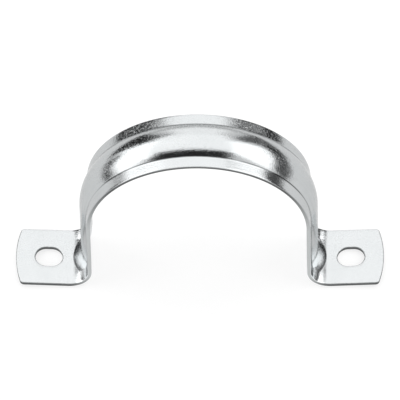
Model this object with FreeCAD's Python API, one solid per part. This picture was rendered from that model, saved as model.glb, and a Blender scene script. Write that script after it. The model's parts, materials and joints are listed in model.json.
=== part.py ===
"""Omega pipe clamp, size 63: one strap of bright zinc-plated steel, pressed and bent in one piece.

The strap runs foot, bend, leg, half-round saddle, leg, bend, foot. A raised bead is pressed
outwards along the middle of its width. It stiffens the saddle and both legs and dies out in the
two foot bends, where it leaves a leaf-shaped gusset. Each foot has a rounded end and one slot.

Frame, in millimetres: the pipe runs along Y, the clamp is symmetric about X = 0 and Y = 0, and
Z = 0 is the surface that the clamp stands on, under the lowest line of both foot bends.
"""

import FreeCAD, Part
import math
import os

# Pipe and strip
pipe_diameter = 63.0        # outside diameter of the pipe, and the inside diameter of the saddle
strip_width = 19.0          # along the pipe
sheet = 1.2                 # sheet thickness
axis_height = 28.4          # pipe axis above the standing surface

# Bead pressed along the middle of the strip
bead_height = 1.9           # crest above the strip's outer skin
bead_margin = 3.6           # flat strip left on each side of the bead
bead_fold_radius = 0.6      # fold between the flat margin and the bead's rounded crown
bead_bend_radius = 3.2      # bend of the crest where it dives into the foot, under the foot bend

# Feet
bend_inside_radius = 5.4    # inside radius of the bend between leg and foot
foot_rise_angle = 3.4       # each foot rises outwards by this, so that the screws preload the strap
overall_length = 107.4      # tip to tip, over both feet
tip_radius = 30.0           # convex end of each foot, seen from above
tip_corner_radius = 1.2     # the four corners of the strip

# Screw slots
slot_spacing = 88.2         # centre to centre
slot_length = 8.0           # end to end, along the strap
slot_width = 6.5            # clears an M6 screw

# How far the forms reach past the sheet, so that no two of their faces lie on each other
outer_reach = 1.0
inner_reach = 2.0

# Values worked out from the sizes above
half_width = strip_width / 2
inner_radius = pipe_diameter / 2
outer_radius = inner_radius + sheet
bead_half_width = half_width - bead_margin
bend_height = bend_inside_radius + sheet
bend_x = outer_radius + bend_inside_radius
dive_height = bead_bend_radius + sheet
dive_x = outer_radius + bead_height + bead_bend_radius
foot_rise = math.radians(foot_rise_angle)
clear_of_tip = overall_length / 2 + tip_radius


def point(x, y, z):
    return FreeCAD.Vector(x, y, z)


def line(start, end):
    return Part.makeLine(start, end)


def arc(start, middle, end):
    return Part.Arc(start, middle, end).toShape()


def bead_half(skin_radius, fold_radius):
    """Points of one side of the bead's section, as (across the strip, out from the pipe's axis).

    The bead is a round crown between two concave folds, and all three arcs are tangent: the crown
    and a fold together rise by the bead's height over half the bead's width. Both skins of the
    sheet share the arcs' centres, so the sheet keeps its thickness all the way across.
    """
    arc_sum = (bead_half_width ** 2 + bead_height ** 2) / (2 * bead_height)
    slope = math.asin(bead_half_width / arc_sum)
    crest = skin_radius + bead_height

    def on_fold(turn):
        return bead_half_width - fold_radius * math.sin(turn), \
            skin_radius + fold_radius * (1 - math.cos(turn))

    def on_crown(turn):
        return (arc_sum - fold_radius) * math.sin(turn), \
            crest - (arc_sum - fold_radius) * (1 - math.cos(turn))

    return [on_fold(0), on_fold(slope / 2), on_fold(slope)], on_crown(0)


def bead_section(skin_radius, fold_radius, reach, half):
    """Face across the strip on the +X side: the bead, and the strip out to half on each side."""
    fold, crest = bead_half(skin_radius, fold_radius)

    def place(spot, side):
        return point(spot[1], side * spot[0], axis_height)

    edge_of_strip = (half, skin_radius)
    root = (half, inner_radius - reach)
    edges = [arc(place(fold[2], -1), place(crest, 1), place(fold[2], 1)),
             line(place(root, -1), place(root, 1))]
    for side in (-1, 1):
        edges.append(arc(place(fold[0], side), place(fold[1], side), place(fold[2], side)))
        edges.append(line(place(root, side), place(edge_of_strip, side)))
        if half > bead_half_width:
            edges.append(line(place(edge_of_strip, side), place(fold[0], side)))
    return Part.Face(Part.Wire(Part.__sortEdges__(edges)))


def both_ends(shape):
    """The shape at the +X end and its mirror image at the -X end."""
    return [shape, shape.mirror(point(0, 0, 0), point(1, 0, 0))]


def saddle_and_legs(skin_radius, fold_radius, reach):
    """The beaded section turned half round the pipe axis and carried down both legs."""
    whole = bead_section(skin_radius, fold_radius, reach, half_width)
    saddle = whole.revolve(point(0, 0, axis_height), point(0, -1, 0), 180)
    leg = whole.extrude(point(0, 0, bend_height - axis_height))
    return [saddle] + both_ends(leg)


def bead_run_out(skin_radius, fold_radius, reach):
    """The bead alone, past the legs: its crest bends outwards more tightly than the strip does.

    The foot bend therefore swallows the bead from its edges to its crest, and what is left of it
    is a leaf-shaped gusset that ends level with the foot.
    """
    bead = bead_section(skin_radius, fold_radius, reach, bead_half_width)
    straight = bead.extrude(point(0, 0, dive_height - axis_height))
    bead.translate(point(0, 0, dive_height - axis_height))
    dive = bead.revolve(point(dive_x, 0, dive_height), point(0, -1, 0), 90)
    return both_ends(straight) + both_ends(dive)


def bend_and_foot(skin_radius, reach):
    """Everything under one skin of the foot bend and the foot, across the whole strip."""
    bend_radius = bend_x - skin_radius
    centre = point(bend_x, -half_width, bend_height)

    def on_bend(turn):
        return centre + point(-bend_radius * math.cos(turn), 0, -bend_radius * math.sin(turn))

    bend_turn = math.pi / 2 + foot_rise
    bend_end = on_bend(bend_turn)
    along = (clear_of_tip - bend_end.x) / math.cos(foot_rise)
    far_end = bend_end + point(along * math.cos(foot_rise), 0, along * math.sin(foot_rise))
    corners = [point(far_end.x, -half_width, -reach),
               point(inner_radius - reach, -half_width, -reach),
               point(inner_radius - reach, -half_width, bend_height)]
    edges = [line(corners[2], on_bend(0)),
             arc(on_bend(0), on_bend(bend_turn / 2), bend_end),
             line(bend_end, far_end),
             line(far_end, corners[0]),
             line(corners[0], corners[1]),
             line(corners[1], corners[2])]
    foot = Part.Face(Part.Wire(edges)).extrude(point(0, strip_width, 0))
    return both_ends(foot)


def form(skin_radius, fold_radius, reach):
    """The solid under one skin of the sheet, as the punch or the die of the press would fill it."""
    pieces = saddle_and_legs(skin_radius, fold_radius, reach)
    pieces += bead_run_out(skin_radius, fold_radius, reach)
    pieces += bend_and_foot(skin_radius, reach)
    return pieces[0].multiFuse(pieces[1:]).removeSplitter()


def strip_outline():
    """The blank seen from above: straight sides, and a convex end with rounded corners."""
    tip = overall_length / 2
    drop = tip_radius - math.sqrt(tip_radius ** 2 - half_width ** 2)
    edges = []
    for side in (-1, 1):
        corner_low = point(side * (tip - drop), -half_width, 0)
        corner_high = point(side * (tip - drop), half_width, 0)
        edges.append(arc(corner_low, point(side * tip, 0, 0), corner_high))
        edges.append(line(point(-(tip - drop), side * half_width, 0),
                          point(tip - drop, side * half_width, 0)))
    face = Part.Face(Part.Wire(Part.__sortEdges__(edges)))
    height = axis_height + outer_radius + bead_height + outer_reach
    blank = face.extrude(point(0, 0, height + inner_reach))
    blank.translate(point(0, 0, -inner_reach))
    upright = [edge for edge in blank.Edges
               if abs(edge.tangentAt(edge.FirstParameter).z) > 0.99]
    return blank.makeFillet(tip_corner_radius, upright)


def slot(centre_x):
    """One round-ended screw slot, cut straight down through a foot."""
    radius = slot_width / 2
    half_run = (slot_length - slot_width) / 2
    height = axis_height + inner_reach
    bottom = -inner_reach
    edges = []
    for side in (-1, 1):
        end_x = centre_x + side * half_run
        edges.append(arc(point(end_x, -radius, bottom),
                         point(end_x + side * radius, 0, bottom),
                         point(end_x, radius, bottom)))
        edges.append(line(point(centre_x - half_run, side * radius, bottom),
                          point(centre_x + half_run, side * radius, bottom)))
    return Part.Face(Part.Wire(Part.__sortEdges__(edges))).extrude(point(0, 0, height))


def omega_clamp():
    """What lies between the two forms, trimmed to the strip's outline, with its slots cut."""
    outer = form(outer_radius, bead_fold_radius, outer_reach)
    inner = form(inner_radius, bead_fold_radius + sheet, inner_reach)
    strap = outer.cut(inner).common(strip_outline())
    for side in (-1, 1):
        strap = strap.cut(slot(side * slot_spacing / 2))
    return strap.removeSplitter()


os.makedirs("parts", exist_ok=True)
clamp = omega_clamp().Solids[0]
clamp.exportStep("parts/omega_clamp.step")
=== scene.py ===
import json
import math
import bmesh
import bpy
import numpy as np
from mathutils import Matrix, Vector


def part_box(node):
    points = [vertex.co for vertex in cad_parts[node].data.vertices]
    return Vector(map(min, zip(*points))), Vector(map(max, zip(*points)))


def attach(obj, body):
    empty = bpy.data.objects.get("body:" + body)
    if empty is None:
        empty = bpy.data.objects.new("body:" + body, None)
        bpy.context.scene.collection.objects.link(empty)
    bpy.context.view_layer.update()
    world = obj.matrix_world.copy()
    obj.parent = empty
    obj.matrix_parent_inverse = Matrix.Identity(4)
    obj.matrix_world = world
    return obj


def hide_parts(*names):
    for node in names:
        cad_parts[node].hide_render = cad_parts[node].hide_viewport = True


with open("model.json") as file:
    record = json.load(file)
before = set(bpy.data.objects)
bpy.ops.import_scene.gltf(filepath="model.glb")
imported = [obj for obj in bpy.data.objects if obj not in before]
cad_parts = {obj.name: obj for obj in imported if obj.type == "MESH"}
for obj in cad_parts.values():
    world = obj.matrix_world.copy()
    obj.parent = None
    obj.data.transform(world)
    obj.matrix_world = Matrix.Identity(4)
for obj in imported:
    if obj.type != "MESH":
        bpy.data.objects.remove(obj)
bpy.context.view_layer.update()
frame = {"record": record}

# Omega pipe clamp in bright zinc plate, with its camera, light and floor. Lengths are in metres.
# The pipe runs along Y, Z is up, and the clamp stands on Z = 0.

mm = 0.001
strap_low, strap_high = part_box("omega_clamp")
mounts = {mount["name"]: mount for mount in frame["record"]["mounts"]}

# Strip and saddle
half_width = (strap_high.y - strap_low.y) / 2
half_length = (strap_high.x - strap_low.x) / 2
axis_height = mounts["pipe_seat"]["pos_m"][2]
inner_radius = mounts["pipe_seat"]["dims"]["r_mm"] * mm
sheet = 1.2 * mm
outer_radius = inner_radius + sheet
edge_break = 0.25 * mm

# Bead
bead_height = 1.9 * mm
bead_half_width = half_width - 3.6 * mm
bead_fold = 0.6 * mm
bead_arc_sum = (bead_half_width ** 2 + bead_height ** 2) / (2 * bead_height)
bead_slope = math.asin(bead_half_width / bead_arc_sum)
margin_droop = 0.17 * mm
margin_drawn_in = 0.22 * mm
shear_lean = 0.22 * mm

# Foot bend, and the leaf that the bead leaves in it
bend_inside = 5.4 * mm
bend_x = outer_radius + bend_inside
bend_z = bend_inside + sheet
foot_rise = math.radians(3.4)
bend_end = math.pi / 2 + foot_rise
leaf_tip_turn = math.radians(77)
leaf_side_turn = math.radians(54)
leaf_fall = 2.6
leaf_softness = 0.18 * mm
# Width of the painted shade line round the leaf
leaf_shade_width = 0.3 * mm
bend_skew = 0.2 * mm

# Painted highlight in the foot bend: full at its start, and fading up the leg and round the bend
highlight_up_leg = 7 * mm
highlight_full_turn = math.radians(50)
highlight_end_turn = math.radians(72)

# Foot, seen from above
tip_radius = 30.0 * mm
corner_radius = 1.2 * mm
slot_x = mounts["screw_slots"]["dims"]["spacing_x_mm"] / 2 * mm
slot_radius = mounts["screw_slots"]["dims"]["hole_r_mm"] * mm
slot_half_run = mounts["screw_slots"]["dims"]["slot_length_mm"] / 2 * mm - slot_radius

# Grid of the strap: places along each part of its run, and how near two points weld
arch_places = 91
leg_places = 15
bend_places = 81
weld_reach = 0.002 * mm

# Tones of the plate
zinc_darker = (0.506, 0.522, 0.528, 1)
zinc_lighter = (0.542, 0.556, 0.562, 1)
rolled_streak = (0.39, 0.41, 0.41, 1)
# Painted highlight: a lighter tone that stands in for the light the foot bends reflect
bend_highlight_tone = (0.84, 0.86, 0.87, 1)
# Painted shade in the bead's folds and round the leaf
fold_shadow = (0.10, 0.105, 0.105, 1)
# Sheared walls: partly the duller cut, partly painted: painted shade on the arch, painted light on
# the legs
shaded_cut_on_arch = (0.105, 0.11, 0.11, 1)
lit_cut_on_leg = (0.52, 0.54, 0.54, 1)


def bead_over_skin(across, fold):
    """Height of the bead over its skin of the sheet.

    A round crown of radius (arc sum - fold) sits between two concave folds of radius fold, and
    both lean by the bead's slope where they meet.
    """
    crown = bead_arc_sum - fold
    reach = np.abs(across)
    to_margin = np.clip(bead_half_width - reach, 0, fold)
    on_crown = bead_height - crown + np.sqrt(np.maximum(crown ** 2 - reach ** 2, 0))
    on_fold = fold - np.sqrt(fold ** 2 - to_margin ** 2)
    return np.where(reach <= crown * math.sin(bead_slope), on_crown, on_fold)


def across_strip():
    """Places across the flat of the strip: close together where the bead folds and crowns."""
    flat = half_width - edge_break
    margin = np.linspace(flat, bead_half_width, 8)[:-1]
    bead = np.linspace(bead_half_width, 0, 40)
    half = np.concatenate([margin, bead])
    return np.concatenate([-half[:-1], half[::-1]])


def broken_edge(steps=5):
    """Quarter round of the strip's edges: (distance short of the edge, depth), flat side first."""
    turn = np.linspace(0, math.pi / 2, steps)
    return edge_break * (1 - np.sin(turn)), edge_break * (1 - np.cos(turn))


def sheared_share(depth):
    """1 on the sheared wall of an edge or a slot, 0 on both skins, changing over the broken edge."""
    inside = np.minimum(depth, sheet - depth)
    return np.clip(inside / edge_break, 0, 1)


def section_loop():
    """One loop round the strip's section: (across, depth below the outer skin, on inner skin).

    Outer skin, broken edge, side, broken edge, inner skin back, and the other edge.
    """
    flat = across_strip()
    short, depth = broken_edge()
    side_short = np.concatenate([short[1:], short[:0:-1]])
    side_depth = np.concatenate([depth[1:], sheet - depth[:0:-1]])
    across = np.concatenate([flat, half_width - side_short, flat[::-1], side_short - half_width])
    depths = np.concatenate([0 * flat, side_depth, 0 * flat + sheet, side_depth[::-1]])
    inner = np.concatenate([0 * flat, side_depth > sheet / 2, 0 * flat + 1,
                            side_depth[::-1] > sheet / 2]).astype(bool)
    return across, depths, inner


def margin_share(across):
    """0 over the bead, rising evenly over the margins to 1 at the strip's edges."""
    beyond_bead = np.maximum(np.abs(across) - bead_half_width, 0)
    return beyond_bead / (half_width - bead_half_width)


def leaf_end(across):
    """Turn of the foot bend at which the bead has run out: latest at the crest, sooner beside it."""
    side = np.minimum(np.abs(across) / bead_half_width, 1)
    return leaf_tip_turn - (leaf_tip_turn - leaf_side_turn) * side ** 2


def bead_in_bend(turn, across, over_skin):
    """Height of the bead over a skin inside the foot bend, after the given turn.

    It is the height on the leg times one minus a power of the share of the way to the leaf's end.
    Past the end the bend is plain. A height within soft of zero becomes the square of (height +
    soft) over four times soft, which rounds the fold. Soft is leaf_softness at the crest halfway
    round the bend, and shrinks to nothing at the bend's two ends.
    """
    height = over_skin * (1 - (turn / leaf_end(across)) ** leaf_fall)
    arched = np.sin(math.pi * turn / bend_end) ** 2
    soft = np.maximum(leaf_softness * over_skin / bead_height * arched, 1e-9)
    rounded = (height + soft) ** 2 / (4 * soft)
    return np.where(height >= soft, height, np.where(height <= -soft, 0, rounded))


# Painted shade round the leaf: the share of its dark line at the leaf's edge
def leaf_shade_line(turn, across):
    """1 up to a sixth of the line's width from the leaf's edge, falling to 0 at half its width."""
    aside = np.abs(turn - leaf_end(across)) * bend_inside
    on_bead = np.abs(across) < bead_half_width
    return on_bead * np.clip(1.5 - 3 * aside / leaf_shade_width, 0, 1)


def skew_in_bend(turn, across):
    """How far the foot bend lifts its far margin, and lets its near margin sink where negative.

    It is bend_skew times the squared sine of twice the turn, up to a right angle, times a share
    that grows over the margins to 1 at the far edge and to -1 at the near edge.
    """
    share = margin_share(across)
    across_share = np.where(across > 0, 1 - (1 - share) ** 2, -share ** 2)
    return bend_skew * np.sin(2 * np.minimum(turn, math.pi / 2)) ** 2 * across_share


def half_strap():
    """One half of the strap as a grid: a section loop at each place from the crown to the foot.

    The place runs a quarter turn round the pipe, down the leg and round the foot bend. A point is
    the outer skin's base line plus its normal times (bead height - depth). Pressing the bead
    draws the margins in and lets them sink a little, and their sheared walls lean inwards. Both
    fade out round the foot bend, with the squared cosine of its turn. The second grid holds, for
    each point, the place along and across the strip and the shares of shear, of the painted
    shade line round the leaf and of the painted highlight in the foot bend.
    """
    arch = np.linspace(math.pi / 2, 0, arch_places)
    leg = np.linspace(axis_height, bend_z, leg_places)[1:]
    bend = np.linspace(0, bend_end, bend_places)[1:]
    base_x = np.concatenate([outer_radius * np.cos(arch), 0 * leg + outer_radius,
                             bend_x - bend_inside * np.cos(bend)])
    base_z = np.concatenate([axis_height + outer_radius * np.sin(arch), leg,
                             bend_z - bend_inside * np.sin(bend)])
    normal_x = np.concatenate([np.cos(arch), 0 * leg + 1, np.cos(bend)])
    normal_z = np.concatenate([np.sin(arch), 0 * leg, np.sin(bend)])
    steps = np.hypot(np.diff(base_x), np.diff(base_z))
    run = np.concatenate([[0], np.cumsum(steps)])

    across, depth, inner = section_loop()
    over_skin = np.where(inner, bead_over_skin(across, bead_fold + sheet),
                         bead_over_skin(across, bead_fold))
    straight_rows = np.tile(over_skin, (len(arch) + len(leg), 1))
    bend_rows = bead_in_bend(bend[:, None], across[None, :], over_skin[None, :])
    bend_rows += skew_in_bend(bend[:, None], across[None, :])
    line_rows = leaf_shade_line(bend[:, None], across[None, :]) * ~inner[None, :]
    # Share of the painted highlight in the foot bend
    highlight_fade = highlight_end_turn - highlight_full_turn
    painted_highlight = np.concatenate([0 * arch, np.clip(1 - (leg - bend_z) / highlight_up_leg, 0, 1),
                                np.clip((highlight_end_turn - bend) / highlight_fade, 0, 1)])
    pressed = np.concatenate([0 * arch + 1, 0 * leg + 1, np.maximum(np.cos(bend), 0) ** 2])
    give = pressed[:, None] * margin_share(across)[None, :]
    height = np.concatenate([straight_rows, bend_rows]) - depth[None, :] - margin_droop * give
    drawn_in = give * (margin_drawn_in + shear_lean * depth / sheet)[None, :]

    x = base_x[:, None] + normal_x[:, None] * height
    z = base_z[:, None] + normal_z[:, None] * height
    y = across[None, :] - np.sign(across)[None, :] * drawn_in
    along = np.broadcast_to(run[:, None], x.shape)
    sheared = np.broadcast_to(sheared_share(depth), x.shape)
    line = np.concatenate([0 * straight_rows, line_rows])
    highlight_share = np.broadcast_to(painted_highlight[:, None], x.shape)
    return np.stack([x, y, z], -1), np.stack([along, y, sheared, line, highlight_share], -1)


def foot_contour():
    """The foot's edge seen from above: (x, y, outward x, outward y, share of upright trim).

    It starts on the bend's end line, where the strip carries on, then follows one side, a corner
    arc, the tip's arc, the other corner and the other side. The share grows from 0 at the bend,
    where the end plane is square to the sheet, to 1 where the sheet is trimmed upright.
    """
    start_x = bend_x + bend_inside * math.sin(foot_rise)
    tip_centre = half_length - tip_radius
    corner_y = half_width - corner_radius
    corner_x = tip_centre + math.sqrt((tip_radius - corner_radius) ** 2 - corner_y ** 2)
    lean = math.asin(corner_y / (tip_radius - corner_radius))

    joined = across_strip()[1:-1]
    side = np.linspace(0, 1, 13)[:-1]
    corner = np.linspace(math.pi / 2, lean, 7)
    tip = np.linspace(lean, -lean, 41)[1:-1]

    def arc(centre_x, centre_y, radius, turn):
        return [centre_x + radius * np.cos(turn), centre_y + radius * np.sin(turn),
                np.cos(turn), np.sin(turn), 0 * turn + 1]

    side_x = start_x + side * (corner_x - start_x)
    parts = [
        [0 * joined + start_x, joined, 0 * joined, 0 * joined, 0 * joined],
        [side_x, 0 * side + half_width, 0 * side, 0 * side + 1, side],
        arc(corner_x, corner_y, corner_radius, corner),
        arc(tip_centre, 0, tip_radius, tip),
        arc(corner_x, -corner_y, corner_radius, -corner[::-1]),
        [side_x[::-1], 0 * side - half_width, 0 * side, 0 * side - 1, side[::-1]],
    ]
    return np.concatenate(parts, axis=1), len(joined)


def slot_contour(contour):
    """The slot's edge on the ray from its centre to each place of the contour, with its normal.

    The ray meets a straight side of the slot, or else the round end on that side.
    """
    ray = contour[:2] - np.array([[slot_x], [0]])
    ray = ray / np.hypot(*ray)
    to_side = slot_radius / np.maximum(np.abs(ray[1]), 1e-9)
    lift = np.sqrt(np.maximum(slot_radius ** 2 - (slot_half_run * ray[1]) ** 2, 0))
    to_end = slot_half_run * np.abs(ray[0]) + lift
    on_side = to_side * np.abs(ray[0]) <= slot_half_run
    spot = ray * np.where(on_side, to_side, to_end)
    end_centre = np.where(on_side, spot[0], np.sign(ray[0]) * slot_half_run)
    normal = (spot - np.stack([end_centre, 0 * end_centre])) / slot_radius
    return spot + np.array([[slot_x], [0]]), normal


def foot_plate():
    """One foot as a grid closed both ways: round the foot, and round the plate's own section.

    A place is a mix of the slot's edge and the foot's edge, each moved in by its broken edge, at a
    depth below the top. Both edges are cut upright through the rising plate. With the grid come
    the places along the strip, the shares of sheared wall, and where the bend joins.
    """
    contour, joined = foot_contour()
    slot_edge, slot_normal = slot_contour(contour)
    short, depth = broken_edge()
    full = 0 * short
    ring = np.linspace(0, 1, 9)
    edge = 0 * ring + edge_break

    # Round the section: top from slot to edge, outer wall, underside back, and the slot's wall
    share = np.concatenate([ring, full[1:] + 1, full[1:] + 1, ring[::-1][1:], full[1:], full[1:-1]])
    from_edge = np.concatenate([edge, short[1:], short[::-1][:-1], edge[1:], full[1:],
                                full[1:-1]])
    from_slot = np.concatenate([edge, full[1:], full[1:], edge[1:], short[1:], short[::-1][:-2]])
    down = np.concatenate([0 * ring, depth[1:], sheet - depth[::-1][:-1], 0 * ring[1:] + sheet,
                           sheet - depth[1:], depth[::-1][:-2]])
    top_ring_end = len(ring) - 1
    side_end = top_ring_end + 2 * (len(short) - 1)

    outer = contour[:2][:, :, None] - contour[2:4][:, :, None] * from_edge[None, None, :]
    hole = slot_edge[:, :, None] + slot_normal[:, :, None] * from_slot[None, None, :]
    plan = hole * (1 - share) + outer * share
    upright = contour[4][:, None] * share + (1 - share)
    start_x = bend_x + bend_inside * math.sin(foot_rise)
    start_z = bend_z - bend_inside * math.cos(foot_rise)
    along = (plan[0] - start_x) / math.cos(foot_rise) - down * math.tan(foot_rise) * upright
    x = start_x + along * math.cos(foot_rise) + down * math.sin(foot_rise)
    z = start_z + along * math.sin(foot_rise) - down * math.cos(foot_rise)
    sheared = np.broadcast_to(sheared_share(down), x.shape)
    return np.stack([x, plan[1], z], -1), along, sheared, (joined, top_ring_end, side_end)


def grid_faces(rows, columns, close_rows):
    """Quads of a grid whose columns always close round, and whose rows close when asked."""
    first = np.arange(rows if close_rows else rows - 1)
    row, column = np.meshgrid(first, np.arange(columns), indexing="ij")
    after_row, after_column = (row + 1) % rows, (column + 1) % columns
    corners = [row * columns + column, row * columns + after_column,
               after_row * columns + after_column, after_row * columns + column]
    return np.stack(corners, -1), row, column


def mirrored(points, faces):
    """The same part of the strap at the -X end, with its faces turned to keep pointing out."""
    return points * np.array([-1, 1, 1]), faces[:, ::-1]


def strap_mesh():
    """The whole strap as one closed mesh: two halves and two feet, welded along shared lines.

    Its points carry their place along and across the strip with the share of sheared wall, and
    two more shares: the painted shade line round the leaf, and the painted highlight of the foot
    bend.
    """
    body, body_place = half_strap()
    rows, columns = body.shape[:2]
    body_faces = grid_faces(rows, columns, False)[0].reshape(-1, 4)

    foot, foot_along, foot_sheared, (joined, top_ring_end, side_end) = foot_plate()
    quads, row, column = grid_faces(foot.shape[0], foot.shape[1], True)
    in_join = (row < joined) | (row == foot.shape[0] - 1)
    open_side = in_join & (column >= top_ring_end) & (column < side_end)
    foot_faces = quads[~open_side]
    leg_run = body_place[-1, 0, 0]
    plain = 0 * foot_along
    foot_place = np.stack([leg_run + foot_along, foot[..., 1], foot_sheared, plain, plain], -1)

    parts = [(body.reshape(-1, 3), body_faces, body_place.reshape(-1, 5)),
             (foot.reshape(-1, 3), foot_faces, foot_place.reshape(-1, 5))]
    parts += [(*mirrored(points, faces), place * np.array([-1, 1, 1, 1, 1]))
              for points, faces, place in parts]
    starts = np.cumsum([0] + [len(part[0]) for part in parts])
    points = np.concatenate([part[0] for part in parts])
    faces = np.concatenate([part[1] + start for part, start in zip(parts, starts)])
    places = np.concatenate([part[2] for part in parts])

    mesh = bpy.data.meshes.new("omega_strap")
    mesh.from_pydata(points.tolist(), [], faces.tolist())
    strip_place = mesh.attributes.new("strip_place", "FLOAT_VECTOR", "POINT")
    strip_place.data.foreach_set("vector", places[:, :3].ravel())
    for name, column in (("leaf_shade_line", 3), ("painted_highlight", 4)):
        share = mesh.attributes.new(name, "FLOAT", "POINT")
        share.data.foreach_set("value", places[:, column])
    tidy = bmesh.new()
    tidy.from_mesh(mesh)
    bmesh.ops.remove_doubles(tidy, verts=tidy.verts, dist=weld_reach)
    loose = [vertex for vertex in tidy.verts if not vertex.link_faces]
    bmesh.ops.delete(tidy, geom=loose, context="VERTS")
    bmesh.ops.recalc_face_normals(tidy, faces=tidy.faces)
    tidy.to_mesh(mesh)
    tidy.free()
    mesh.shade_smooth()
    return mesh


class Nodes:
    """Short hand for a material's or world's nodes: makes nodes, sets their inputs, links them."""

    def __init__(self, owner):
        owner.use_nodes = True
        self.tree = owner.node_tree
        self.tree.nodes.clear()

    def add(self, kind, settings=(), **inputs):
        node = self.tree.nodes.new(kind)
        for name, value in dict(settings).items():
            setattr(node, name, value)
        for name, value in inputs.items():
            self.set(node.inputs[name.replace("_", " ")], value)
        return node

    def set(self, socket, value):
        if isinstance(value, bpy.types.NodeSocket):
            self.tree.links.new(value, socket)
        else:
            socket.default_value = value

    def noise(self, vector, scale, detail=2.0, roughness=0.5):
        return self.add("ShaderNodeTexNoise", Vector=vector, Scale=scale, Detail=detail,
                        Roughness=roughness).outputs["Fac"]

    def span(self, value, low, high, to_low, to_high):
        node = self.add("ShaderNodeMapRange", Value=value)
        for name, number in (("From Min", low), ("From Max", high), ("To Min", to_low),
                             ("To Max", to_high)):
            self.set(node.inputs[name], number)
        return node.outputs["Result"]

    def math(self, operation, first, second):
        node = self.add("ShaderNodeMath", {"operation": operation})
        self.set(node.inputs[0], first)
        self.set(node.inputs[1], second)
        return node.outputs[0]

    def in_turn(self, operation, values):
        """The first value joined with each of the others by the operation."""
        result = values[0]
        for value in values[1:]:
            result = self.math(operation, result, value)
        return result

    def times(self, *values):
        return self.in_turn("MULTIPLY", values)

    def plus(self, *values):
        return self.in_turn("ADD", values)

    def attribute(self, name, output="Fac"):
        return self.add("ShaderNodeAttribute", {"attribute_name": name}).outputs[output]

    def blend(self, factor, first, second):
        node = self.add("ShaderNodeMix", {"data_type": "RGBA"})
        self.set(node.inputs[0], factor)
        self.set(node.inputs[6], first)
        self.set(node.inputs[7], second)
        return node.outputs[2]


def painted_fold_shade(nodes, along, across, run, cloud):
    """Share of the dark line in the bead's two folds and round the leaf.

    The line is painted shade. It lies a little inside the bead's edge. It is broken by the cloud,
    fainter in the far fold, fainter past the arch and most of all on the leg at the -X end, and it
    ends where the foot bend starts. From there the painted shade line round the leaf goes on.
    """
    line_place = bead_half_width - 0.2 * mm
    from_middle = nodes.math("ABSOLUTE", across, 0)
    aside = nodes.math("ABSOLUTE", nodes.math("SUBTRACT", from_middle, line_place), 0)
    line = nodes.times(nodes.span(aside, 0.1 * mm, 0.24 * mm, 1.0, 0.0),
                       nodes.span(run, 73 * mm, 75 * mm, 1.0, 0.0),
                       nodes.span(cloud, 0.35, 0.6, 0.6, 1.0),
                       nodes.span(across, -mm, mm, 1.0, 0.6),
                       nodes.span(along, -36 * mm, -28 * mm, 0.3, 1.0),
                       nodes.span(run, 34 * mm, 46 * mm, 1.0, 0.6))
    return nodes.math("MAXIMUM", line, nodes.times(nodes.attribute("leaf_shade_line"), 0.85))


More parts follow.
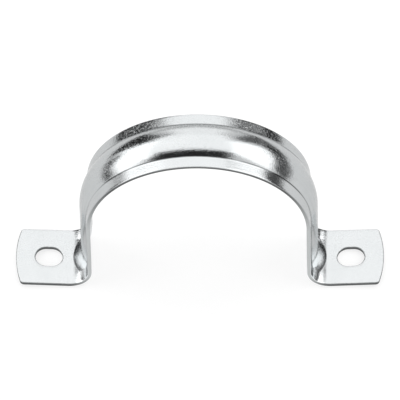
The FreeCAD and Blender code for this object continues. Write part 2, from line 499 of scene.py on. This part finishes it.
def bright_zinc():
    """Bright zinc plate: mirror-like and slightly blue.

    The tone drifts with a cloud noise. It is streaked along the legs by the rolling, lightened by
    a painted highlight in the foot bends, darkened by painted shade in the folds, and set on the
    sheared walls to a tone that is partly the duller cut and partly painted: painted shade on the
    arch, painted light on the legs. The roughness drifts with the cloud and jumps at fine flecks,
    which are fewer on the near side. Grain, flecks and rolling lines are a fine bump on top of a
    soft ripple.
    """
    material = bpy.data.materials.new("bright_zinc")
    nodes = Nodes(material)
    place = nodes.add("ShaderNodeTexCoord").outputs["Object"]
    strip = nodes.attribute("strip_place", "Vector")
    split = nodes.add("ShaderNodeSeparateXYZ", Vector=strip)
    along, across, sheared = (split.outputs[axis] for axis in "XYZ")
    run = nodes.math("ABSOLUTE", along, 0)
    rolled = nodes.add("ShaderNodeMapping", Vector=strip, Scale=(60.0, 1500.0, 1.0))

    # Noises over the plate, with their scales in features per metre
    grain = nodes.noise(place, 2600.0, 3.0, 0.7)
    speckle = nodes.noise(place, 2600.0, 2.0, 0.6)
    cloud = nodes.noise(place, 120.0, 3.0, 0.6)
    ripple = nodes.noise(place, 260.0, 1.0)
    lines = nodes.noise(rolled.outputs["Vector"], 1.0, 3.0, 0.6)

    on_leg = nodes.times(nodes.span(run, 30 * mm, 52 * mm, 0.0, 1.0),
                         nodes.span(run, 75 * mm, 81 * mm, 1.0, 0.0))
    streak = nodes.times(on_leg, nodes.span(lines, 0.4, 0.65, 0.0, 0.4))
    tone = nodes.blend(nodes.span(cloud, 0.3, 0.7, 0.0, 1.0), zinc_darker, zinc_lighter)
    tone = nodes.blend(streak, tone, rolled_streak)
    # Painted highlight in the foot bends
    tone = nodes.blend(nodes.attribute("painted_highlight"), tone, bend_highlight_tone)
    # Painted shade in the folds and round the leaf
    tone = nodes.blend(painted_fold_shade(nodes, along, across, run, cloud), tone, fold_shadow)
    # Sheared walls: the duller cut, with painted shade on the arch and painted light on the legs
    tone = nodes.blend(sheared, tone, nodes.blend(on_leg, shaded_cut_on_arch, lit_cut_on_leg))

    flecks = nodes.times(nodes.span(speckle, 0.5, 0.6, 0.0, 0.24),
                         nodes.span(cloud, 0.35, 0.65, 0.6, 1.0),
                         nodes.span(across, -5 * mm, -mm, 0.4, 1.0))
    dull = nodes.plus(nodes.span(cloud, 0.3, 0.7, 0.09, 0.14), flecks, nodes.times(sheared, 0.25))
    relief = nodes.plus(nodes.times(grain, 0.4), nodes.times(speckle, 0.4),
                        nodes.times(lines, 0.35))
    waves = nodes.add("ShaderNodeBump", Height=ripple, Strength=0.2, Distance=0.08 * mm)
    bump = nodes.add("ShaderNodeBump", Height=relief, Strength=0.8, Distance=0.045 * mm,
                     Normal=waves.outputs["Normal"])
    metal = nodes.add("ShaderNodeBsdfPrincipled", Base_Color=tone, Metallic=1.0, Roughness=dull,
                      Specular_Tint=(0.82, 0.82, 0.82, 1), Normal=bump.outputs["Normal"])
    nodes.add("ShaderNodeOutputMaterial", Surface=metal.outputs["BSDF"])
    return material


def new_piece(name, mesh, material):
    """An object at the origin with the mesh and its material."""
    piece = bpy.data.objects.new(name, mesh)
    bpy.context.scene.collection.objects.link(piece)
    mesh.materials.append(material)
    return piece


def seen_share(nodes):
    """1 for rays from the camera or off a shiny or clear surface, and 0 for the rest."""
    rays = nodes.add("ShaderNodeLightPath").outputs
    seen = nodes.math("MAXIMUM", rays["Is Camera Ray"], rays["Is Glossy Ray"])
    return nodes.math("MAXIMUM", seen, rays["Is Transmission Ray"])


def studio_world():
    """White all round for the camera and for reflections, and a little dimmer as fill light."""
    world = bpy.data.worlds.new("studio")
    bpy.context.scene.world = world
    nodes = Nodes(world)
    fill_light = 0.75
    strength = nodes.span(seen_share(nodes), 0.0, 1.0, fill_light, 1.0)
    background = nodes.add("ShaderNodeBackground", Color=(1, 1, 1, 1), Strength=strength)
    nodes.add("ShaderNodeOutputWorld", Surface=background.outputs["Background"])


def studio_floor(reach=6.0):
    """A plain white sheet. It glows only for what sees it, and keeps a share of its shadow."""
    glow_strength = 0.72
    shadow_tone = (0.3, 0.3, 0.3, 1)
    paper_tone = (0.8, 0.8, 0.8, 1)
    material = bpy.data.materials.new("floor_paper")
    nodes = Nodes(material)
    paper = nodes.add("ShaderNodeBsdfDiffuse", Color=paper_tone)
    faint = nodes.add("ShaderNodeBsdfDiffuse", Color=shadow_tone)
    glow = nodes.add("ShaderNodeEmission", Color=(1, 1, 1, 1), Strength=glow_strength)
    seen = nodes.add("ShaderNodeAddShader")
    nodes.set(seen.inputs[0], faint.outputs[0])
    nodes.set(seen.inputs[1], glow.outputs[0])
    mix = nodes.add("ShaderNodeMixShader", Fac=seen_share(nodes))
    nodes.set(mix.inputs[1], paper.outputs[0])
    nodes.set(mix.inputs[2], seen.outputs[0])
    nodes.add("ShaderNodeOutputMaterial", Surface=mix.outputs[0])
    mesh = bpy.data.meshes.new("floor")
    corners = [(-reach, -reach, 0), (reach, -reach, 0), (reach, reach, 0), (-reach, reach, 0)]
    mesh.from_pydata(corners, [], [(0, 1, 2, 3)])
    new_piece("floor", mesh, material)


def studio_card(name, points, radiance, fade):
    """A softbox or a dark card on a grid of points, which glows and has no surface of its own.

    It fades out smoothly over the given share of its width and height at each edge. The camera
    doesn't see it, and it casts no shadow.
    """
    rows, columns = points.shape[:2]
    row, column = np.meshgrid(np.arange(rows - 1), np.arange(columns - 1), indexing="ij")
    start = row * columns + column
    faces = np.stack([start, start + 1, start + columns + 1, start + columns], -1).reshape(-1, 4)
    mesh = bpy.data.meshes.new(name)
    mesh.from_pydata(points.reshape(-1, 3).tolist(), [], faces.tolist())
    across, up = np.meshgrid(np.linspace(0, 1, columns), np.linspace(0, 1, rows))
    places = np.stack([across, up], -1).reshape(-1, 2)[faces.ravel()]
    mesh.uv_layers.new(name="card").data.foreach_set("uv", places.ravel())

    material = bpy.data.materials.new(name)
    nodes = Nodes(material)
    uv = nodes.add("ShaderNodeTexCoord").outputs["UV"]
    split = nodes.add("ShaderNodeSeparateXYZ", Vector=uv)
    shares = []
    for axis in "XY":
        from_middle = nodes.math("ABSOLUTE", nodes.math("SUBTRACT", split.outputs[axis], 0.5), 0)
        node = nodes.add("ShaderNodeMapRange", {"interpolation_type": "SMOOTHSTEP"},
                         Value=from_middle)
        for socket, number in (("From Min", 0.5 - fade), ("From Max", 0.5), ("To Min", 1.0),
                               ("To Max", 0.0)):
            nodes.set(node.inputs[socket], number)
        shares.append(node.outputs["Result"])
    clear = nodes.add("ShaderNodeBsdfTransparent")
    glow = nodes.add("ShaderNodeEmission", Color=(1, 1, 1, 1), Strength=radiance)
    mix = nodes.add("ShaderNodeMixShader", Fac=nodes.times(*shares))
    nodes.set(mix.inputs[1], clear.outputs[0])
    nodes.set(mix.inputs[2], glow.outputs[0])
    nodes.add("ShaderNodeOutputMaterial", Surface=mix.outputs[0])
    card = new_piece(name, mesh, material)
    card.visible_camera = False
    card.visible_shadow = False


def flat_card(x_from, x_to, y_from, y_to, height):
    """Points of a level card."""
    x, y = np.meshgrid(np.linspace(x_from, x_to, 2), np.linspace(y_from, y_to, 2))
    return np.stack([x, y, 0 * x + height], -1)


def dome_card(azimuth_from, azimuth_to, low, high, lean_from, lean_to, distance):
    """Points of a card curved about the clamp, by azimuth from +X towards +Y and elevation.

    A lean moves that end of the card by so many degrees of azimuth for each degree of height. A
    card that starts below the floor stands on it, with its faded lower edge hidden.
    """
    share, elevation = np.meshgrid(np.linspace(0, 1, 17), np.linspace(low, high, 13))
    start = azimuth_from + lean_from * (elevation - low)
    end = azimuth_to + lean_to * (elevation - low)
    azimuth = np.radians(start + share * (end - start))
    elevation = np.radians(elevation)
    return distance * np.stack([np.cos(elevation) * np.cos(azimuth),
                                np.cos(elevation) * np.sin(azimuth), np.sin(elevation)], -1)


def studio_cards():
    """Softboxes over, behind and beside the clamp, and the dark cards that draw its contours."""
    studio_card("softbox_over", flat_card(-0.74, 0.47, -0.2, 0.9, 0.8), 1.63, 0.06)

    # Name, azimuth from and to, elevation from and to, both leans, distance, radiance and fade
    dome_cards = (
        ("softbox_back", 70, 110, 12, 50, 0, 0, 1.05, 1.5, 0.1),
        ("softbox_right", -30, 34, 17, 62, 0, 0.35, 1.0, 2.15, 0.08),
        ("softbox_left", 146, 210, 9, 50, -0.35, 0, 1.0, 2.15, 0.08),
        ("dark_back_right", 30, 70, -5, 44, 0.3, -0.3, 0.47, 0.16, 0.07),
        ("dark_strip_right", 31, 45, 2, 21, 0.3, 0.1, 0.45, 0.0, 0.2),
        ("dark_back_left", 111, 150.5, -5, 35, 0.25, -0.12, 0.48, 0.03, 0.06),
        ("grey_back_left", 113, 142, 20, 41, 0, 0, 0.8, 0.4, 0.15),
        ("dark_low_right", -32, 40, -3, 21, 0.8, 0, 0.96, 0.1, 0.07),
        ("grey_low_left", 153, 203, -2, 21, 0, -2.0, 0.45, 0.15, 0.05),
        ("dark_low_left", 174, 204, -4, 11, 0, -0.8, 0.42, 0.02, 0.12),
        ("grey_low_back", 66, 114, 0, 10, 0, 0, 0.97, 0.6, 0.08),
    )
    for name, *place, radiance, fade in dome_cards:
        studio_card(name, dome_card(*place), radiance, fade)
    studio_card("dark_front", flat_card(-1.0, 0.55, -0.85, -0.2, 0.85), 0.03, 0.06)


def photo_camera():
    """The photograph's camera: long lens, looking down at the front, with a slight roll.

    The aim is the middle of the clamp's height. It falls at aim_across and aim_down in the
    400 pixel picture, and pixels_per_radius is the picture's scale there.
    """
    picture = 400
    elevation = math.radians(55.53)
    swing = math.radians(1.83)
    roll = math.radians(1.50)
    distance = 100 * inner_radius
    pixels_per_radius = 108.21
    aim_across = 199.31
    aim_down = 232.0

    back = Vector((math.sin(swing) * math.cos(elevation), -math.cos(swing) * math.cos(elevation),
                   math.sin(elevation)))
    right = Vector((math.cos(swing), math.sin(swing), 0))
    up = back.cross(right)
    picture_right = right * math.cos(roll) - up * math.sin(roll)
    picture_up = right * math.sin(roll) + up * math.cos(roll)
    metres_per_pixel = inner_radius / pixels_per_radius
    aim = Vector((0, 0, axis_height / 2))
    aim -= picture_right * (aim_across - picture / 2) * metres_per_pixel
    aim -= picture_up * (picture / 2 - aim_down) * metres_per_pixel

    data = bpy.data.cameras.new("photo_camera")
    data.sensor_width = 36
    data.lens = data.sensor_width * pixels_per_radius * distance / inner_radius / picture
    data.clip_start = 0.1
    data.clip_end = 20
    camera = bpy.data.objects.new("photo_camera", data)
    bpy.context.scene.collection.objects.link(camera)
    turn = Matrix((picture_right, picture_up, back)).transposed().to_4x4()
    camera.matrix_world = Matrix.Translation(aim + back * distance) @ turn
    bpy.context.scene.camera = camera


def dressed_strap():
    """The strap with its true curves and broken edges, in place of the faceted one."""
    strap = new_piece("omega_strap", strap_mesh(), bright_zinc())
    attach(strap, "root")
    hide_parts("omega_clamp")


bpy.context.scene.view_settings.view_transform = "Standard"
photo_camera()
studio_world()
studio_floor()
studio_cards()
dressed_strap()
